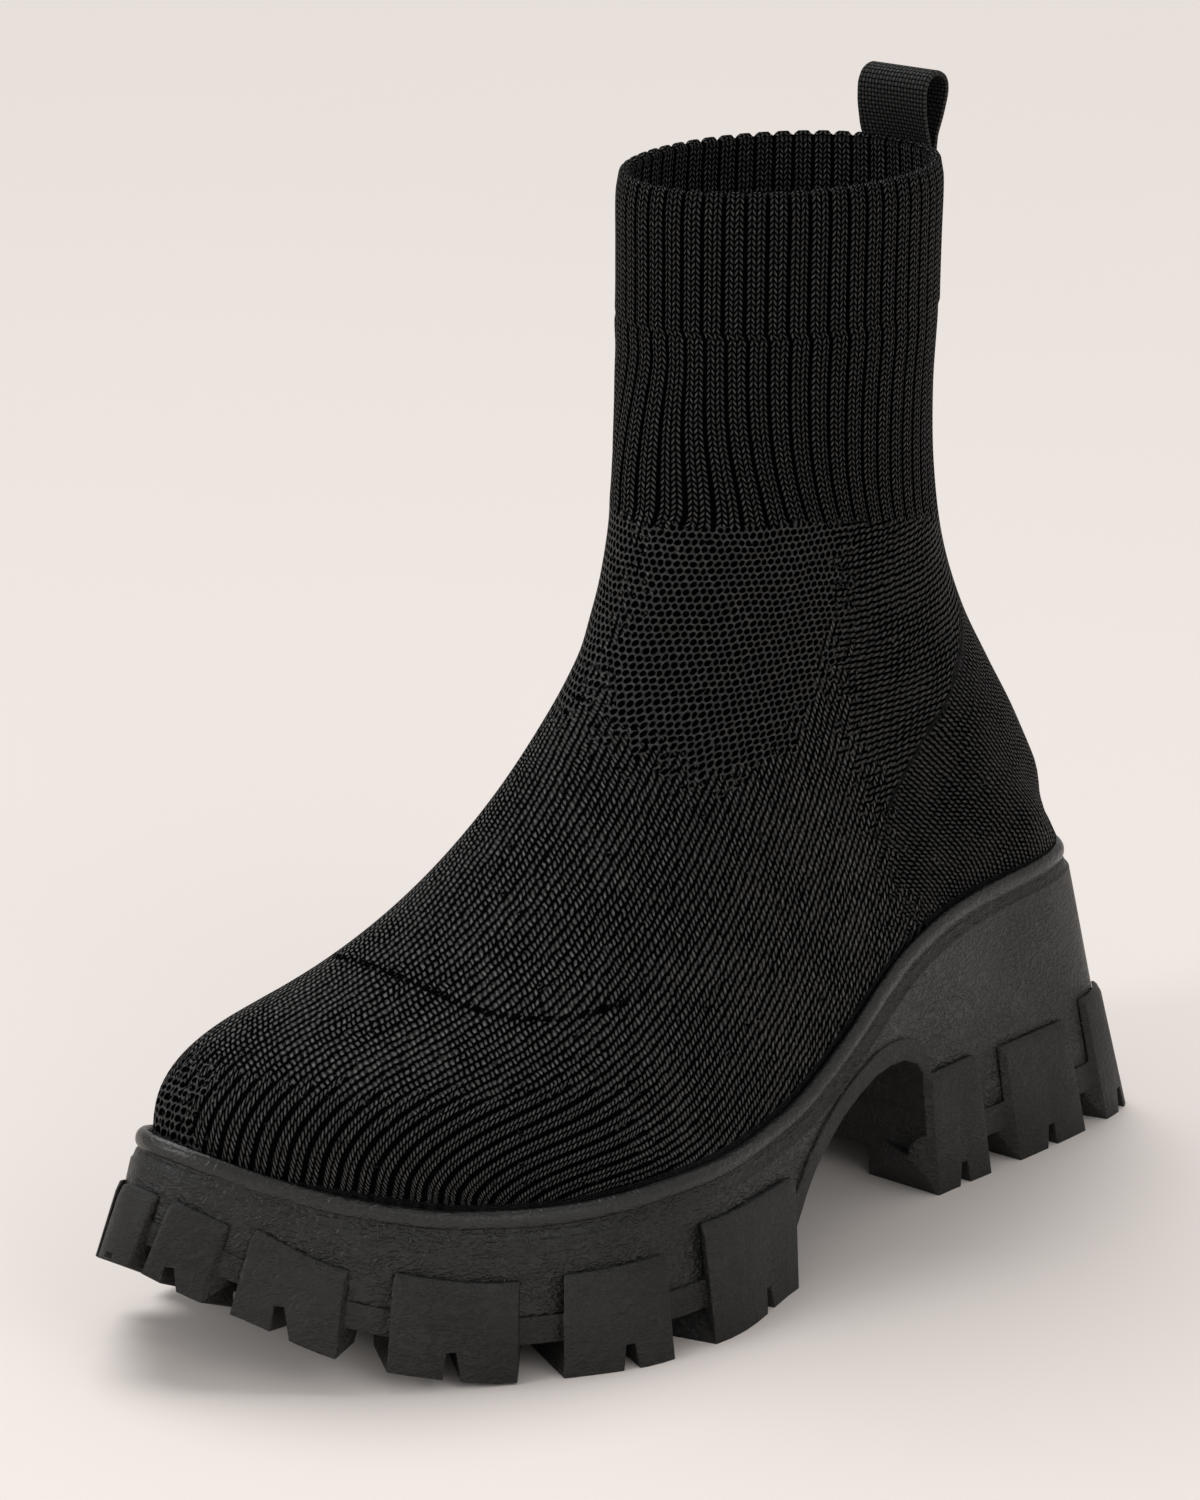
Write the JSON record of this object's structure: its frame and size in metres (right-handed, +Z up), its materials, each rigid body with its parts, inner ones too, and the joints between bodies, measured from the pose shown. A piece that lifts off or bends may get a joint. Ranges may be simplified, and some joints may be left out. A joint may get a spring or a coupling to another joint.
{
  "type": "sock boot",
  "caption": "Left pull-on sock boot with a ribbed knit shaft, back pull loop, and a thick lugged platform sole with an arched high block heel.",
  "frame": {"origin": "centre of the bounding box, on the floor plane that the lugs stand on", "axes": "+X toward the toe, +Y toward the outer side of the left foot, +Z up"},
  "size_m": [0.285, 0.1104, 0.2532],
  "materials": {
    "midsole_rubber": "matte",
    "outsole_rubber": "matte",
    "knit": "knitted",
    "insole_fabric": "matte",
    "webbing": "woven"
  },
  "bodies": {
    "root": {"midsole": "midsole_rubber", "outsole": "outsole_rubber", "upper": "knit", "insole": "insole_fabric", "pull_loop": "webbing"}
  },
  "joints": []
}
